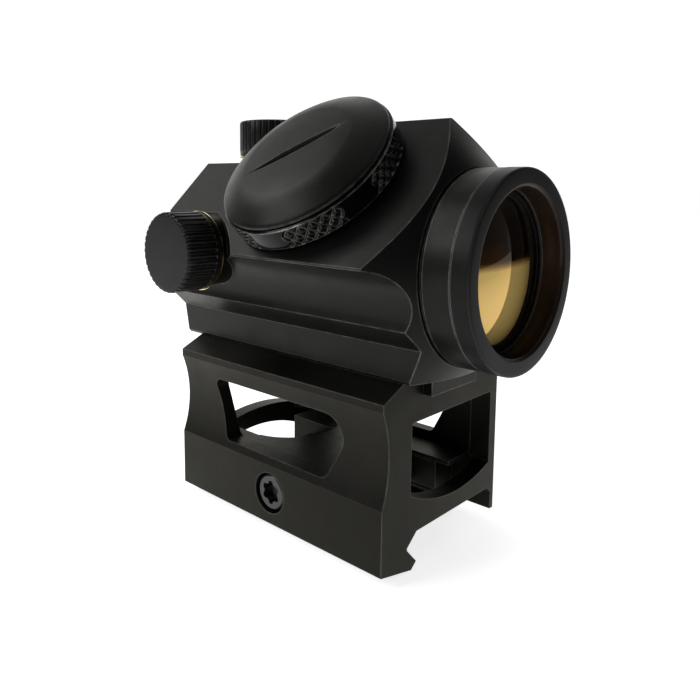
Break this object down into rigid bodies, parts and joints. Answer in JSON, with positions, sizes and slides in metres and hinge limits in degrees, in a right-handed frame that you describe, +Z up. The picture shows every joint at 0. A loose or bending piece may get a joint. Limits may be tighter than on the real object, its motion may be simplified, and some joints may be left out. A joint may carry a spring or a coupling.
{
  "type": "red_dot_sight",
  "caption": "Compact tube red dot sight with angled knurled brightness dial, turret caps and an open-window riser that clamps to an accessory rail",
  "frame": {"origin": "middle of the rail seat, on the top face of the accessory rail", "axes": "+Z up from the rail, -Y the way the objective looks, -X the side with the windage cap and the dial; the optical axis runs along Y"},
  "size_m": [0.0531, 0.0768, 0.0818],
  "materials": {
    "riser_anodised": "satin black anodised, fine blasted grain",
    "body_anodised": "satin black anodised, fine blasted grain",
    "cap_black": "semi-gloss black anodised",
    "knurl_black": "gloss black anodised knurl",
    "inner_black": "matt black",
    "black_steel": "black oxide",
    "steel": "plain",
    "nickel": "satin nickel",
    "brass": "turned",
    "rubber": "matt",
    "amber_glass": "amber reflective coating",
    "clear_glass": "coated, clear",
    "emitter": "moulded epoxy",
    "board": "green solder mask"
  },
  "bodies": {
    "frame": {"riser_body": "riser_anodised", "guide_pins": "steel", "base_screws": "black_steel", "sight_housing": "body_anodised", "objective_bezel": "body_anodised", "objective_seal": "rubber", "ocular_lens": "clear_glass", "ocular_seal": "rubber", "ocular_bezel": "body_anodised", "elevation_cap_ring": "brass", "windage_cap_ring": "brass", "tube_spring": "steel", "dial_seal": "rubber", "dial_clip": "steel", "detent_ball": "steel", "detent_spring": "steel", "battery_contact": "brass", "circuit_board": "board"},
    "gimbal": {"gimbal_ring": "brass"},
    "optical_tube": {"inner_tube": "inner_black", "objective_lens": "amber_glass", "lens_retainer": "inner_black", "led_holder": "inner_black", "led_emitter": "emitter"},
    "clamp": {"clamp_bar": "riser_anodised"},
    "bolt": {"cross_bolt": "black_steel"},
    "elevation_cap_seat": {"elevation_cap_seal": "rubber"},
    "elevation_cap": {"elevation_cap": "cap_black"},
    "windage_cap_seat": {"windage_cap_seal": "rubber"},
    "windage_cap": {"windage_cap": "cap_black"},
    "elevation_screw": {"elevation_adjuster": "brass"},
    "windage_screw": {"windage_adjuster": "brass"},
    "dial": {"brightness_dial": "knurl_black", "battery": "nickel"},
    "battery_cap_seat": {"battery_cap_seal": "rubber"},
    "battery_cap": {"battery_cap": "body_anodised"}
  },
  "joints": [
    {"name": "windage_tilt", "type": "hinge", "parent": "frame", "child": "gimbal", "pos_m": [0, -0.0245, 0.0455], "axis": [0, 0, 1], "range_deg": [-0.33, 0.33]},
    {"name": "elevation_tilt", "type": "hinge", "parent": "gimbal", "child": "optical_tube", "pos_m": [0, -0.0245, 0.0455], "axis": [1, 0, 0], "range_deg": [-0.33, 0.33]},
    {"name": "elevation_turn", "type": "hinge", "parent": "frame", "child": "elevation_screw", "pos_m": [0, 0.0175, 0.0644], "axis": [0, 0, 1], "range_deg": [-180, 180]},
    {"name": "windage_turn", "type": "hinge", "parent": "frame", "child": "windage_screw", "pos_m": [-0.02125, 0.0155, 0.0465], "axis": [-1, 0, 0], "range_deg": [-180, 180]},
    {"name": "elevation_cap_lift", "type": "slide", "parent": "frame", "child": "elevation_cap_seat", "axis": [0, 0, 1], "range_m": [0, 0.00301]},
    {"name": "elevation_cap_unscrew", "type": "hinge", "parent": "elevation_cap_seat", "child": "elevation_cap", "pos_m": [0, 0.0175, 0.0644], "axis": [0, 0, 1], "range_deg": [0, 1440]},
    {"name": "windage_cap_lift", "type": "slide", "parent": "frame", "child": "windage_cap_seat", "axis": [-1, 0, 0], "range_m": [0, 0.00301]},
    {"name": "windage_cap_unscrew", "type": "hinge", "parent": "windage_cap_seat", "child": "windage_cap", "pos_m": [-0.02125, 0.0155, 0.0465], "axis": [-1, 0, 0], "range_deg": [0, 1440]},
    {"name": "brightness_turn", "type": "hinge", "parent": "frame", "child": "dial", "pos_m": [-0.01117, -0.0062, 0.05978], "axis": [-0.7071, 0, 0.7071], "range_deg": [0, 300]},
    {"name": "battery_cap_lift", "type": "slide", "parent": "dial", "child": "battery_cap_seat", "axis": [-0.7071, 0, 0.7071], "range_m": [0, 0.00201]},
    {"name": "battery_cap_unscrew", "type": "hinge", "parent": "battery_cap_seat", "child": "battery_cap", "pos_m": [-0.01117, -0.0062, 0.05978], "axis": [-0.7071, 0, 0.7071], "range_deg": [0, 720]},
    {"name": "bolt_turn", "type": "hinge", "parent": "frame", "child": "bolt", "pos_m": [-0.0177, 0, 0.0013], "axis": [-1, 0, 0], "range_deg": [0, 1082]},
    {"name": "clamp_slide", "type": "slide", "parent": "frame", "child": "clamp", "axis": [1, 0, 0], "range_m": [0, 0.0024]}
  ],
  "couplings": [
    {"joint": "elevation_tilt", "follows": "elevation_turn", "ratio": 0.0018},
    {"joint": "windage_tilt", "follows": "windage_turn", "ratio": 0.0018},
    {"joint": "elevation_cap_lift", "follows": "elevation_cap_unscrew", "m_per_rad": 0.00011937},
    {"joint": "windage_cap_lift", "follows": "windage_cap_unscrew", "m_per_rad": 0.00011937},
    {"joint": "battery_cap_lift", "follows": "battery_cap_unscrew", "m_per_rad": 0.00015915},
    {"joint": "bolt_turn", "follows": "clamp_slide", "rad_per_m": 7854}
  ]
}
